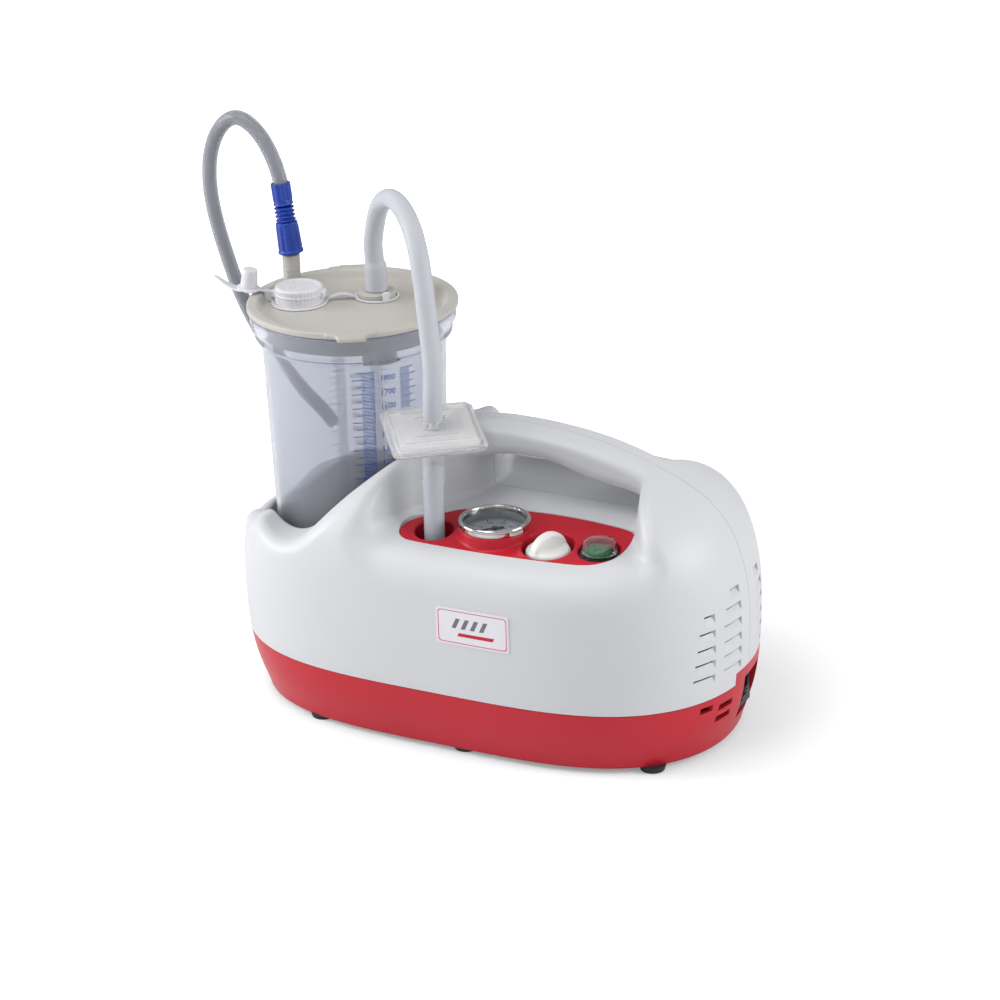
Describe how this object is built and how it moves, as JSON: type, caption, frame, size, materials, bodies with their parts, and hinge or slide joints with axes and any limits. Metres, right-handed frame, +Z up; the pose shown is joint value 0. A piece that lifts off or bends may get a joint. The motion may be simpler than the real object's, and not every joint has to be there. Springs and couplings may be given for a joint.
{
  "type": "suction pump",
  "caption": "Portable electric suction pump with a clear collecting jar, round vacuum gauge, regulator knob, rocker switch, in-line filter and hoses.",
  "frame": {"origin": "centre of the flat underside of the base; the feet stand 4 mm below it", "axes": "+X along the length from the jar to the mains inlet, -Y is the front with the label, +Z up"},
  "size_m": [0.4091, 0.2142, 0.3868],
  "materials": {
    "housing_grey": "satin",
    "housing_red": "satin",
    "rubber_black": "matte",
    "steel": "brushed",
    "zinc_screw": "satin",
    "chrome": "polished",
    "clear_glass": "polished",
    "dial_grey": "matte",
    "black_plastic": "matte",
    "white_plastic": "satin",
    "green_plastic": "satin",
    "clear_boot": "gloss",
    "brass": "satin",
    "jar_clear": "clear",
    "ivory_plastic": "satin",
    "translucent_white": "satin",
    "gasket_violet": "matte",
    "silicone": "gloss",
    "clear_plastic": "gloss",
    "filter_paper": "matte",
    "blue_plastic": "gloss",
    "tube_smoke": "gloss",
    "copper": "gloss",
    "aluminium": "cast",
    "label": "satin",
    "tube_black": "satin"
  },
  "bodies": {
    "housing": {"front_cover": "housing_grey", "rear_cover": "housing_grey", "base_shell": "housing_red", "housing_screws": "zinc_screw", "rubber_feet": "rubber_black", "jar_tray": "housing_grey", "label_plate": "label", "control_panel": "housing_red", "gauge_case": "steel", "gauge_bezel": "chrome", "gauge_glass": "clear_glass", "gauge_dial": "dial_grey", "gauge_movement": "brass", "bourdon_tube": "brass", "regulator_body": "brass", "switch_body": "black_plastic", "switch_boot": "clear_boot", "inlet_nipple": "white_plastic", "gauge_tee": "brass", "inner_tubes": "tube_black", "mounting_plate": "steel", "rubber_mounts": "rubber_black", "motor_can": "steel", "motor_stator": "steel", "motor_windings": "copper", "motor_end_bells": "aluminium", "pump_crankcase": "aluminium", "pump_diaphragm": "rubber_black", "valve_plate": "aluminium", "valve_flaps": "rubber_black", "pump_head": "aluminium", "head_screws": "zinc_screw", "muffler": "black_plastic", "run_capacitor": "aluminium", "power_inlet": "black_plastic", "inlet_pins": "brass"},
    "rotor": {"motor_rotor": "steel", "cooling_fan": "black_plastic", "crank_eccentric": "steel"},
    "rod": {"connecting_rod": "aluminium"},
    "knob": {"regulator_knob": "white_plastic", "regulator_stem": "steel"},
    "valve_needle": {"regulator_needle": "steel"},
    "rocker": {"switch_rocker": "green_plastic"},
    "pointer": {"gauge_needle": "black_plastic"},
    "drawer": {"fuse_drawer": "black_plastic"},
    "jar": {"jar_body": "jar_clear"},
    "lid": {"jar_lid": "ivory_plastic", "lid_gasket": "gasket_violet", "float_cage": "ivory_plastic", "cap_strap": "translucent_white", "filter_lower": "clear_plastic", "filter_upper": "clear_plastic", "filter_membrane": "filter_paper", "suction_hose": "silicone", "port_hose": "silicone", "patient_connector": "blue_plastic", "patient_tube": "tube_smoke"},
    "cap": {"lid_cap": "translucent_white"},
    "float": {"overflow_float": "white_plastic"}
  },
  "joints": [
    {"name": "motor_spin", "type": "hinge", "parent": "housing", "child": "rotor", "pos_m": [0.095, 0.022, 0.056], "axis": [1, 0, 0], "continuous": true},
    {"name": "rod_pivot", "type": "hinge", "parent": "rotor", "child": "rod", "pos_m": [0.0315, 0.0245, 0.056], "axis": [1, 0, 0], "continuous": true},
    {"name": "knob_turn", "type": "hinge", "parent": "housing", "child": "knob", "pos_m": [0.0655, -0.0605, 0.136], "axis": [0, 0, 1], "range_deg": [0, 270]},
    {"name": "needle_lift", "type": "slide", "parent": "housing", "child": "valve_needle", "axis": [0, 0, 1], "range_m": [0, 0.003]},
    {"name": "rocker_tilt", "type": "hinge", "parent": "housing", "child": "rocker", "pos_m": [0.0995, -0.056, 0.133], "axis": [0, 1, 0], "range_deg": [0, 12]},
    {"name": "gauge_pointer", "type": "hinge", "parent": "housing", "child": "pointer", "pos_m": [0.025, -0.055, 0.1436], "axis": [0, 0, -1], "range_deg": [0, 264]},
    {"name": "fuse_slide", "type": "slide", "parent": "housing", "child": "drawer", "axis": [1, 0, 0], "range_m": [0, 0.012]},
    {"name": "jar_lift", "type": "slide", "parent": "housing", "child": "jar", "axis": [0, 0, 1], "range_m": [0, 0.2]},
    {"name": "lid_lift", "type": "slide", "parent": "jar", "child": "lid", "axis": [0, 0, 1], "range_m": [0, 0.1]},
    {"name": "cap_lift", "type": "slide", "parent": "lid", "child": "cap", "axis": [0, 0, 1], "range_m": [0, 0.03]},
    {"name": "float_rise", "type": "slide", "parent": "lid", "child": "float", "axis": [0, 0, 1], "range_m": [0, 0.014]}
  ],
  "couplings": [
    {"joint": "rod_pivot", "follows": "motor_spin", "ratio": -1},
    {"joint": "needle_lift", "follows": "knob_turn", "m_per_rad": 0.00063598}
  ]
}
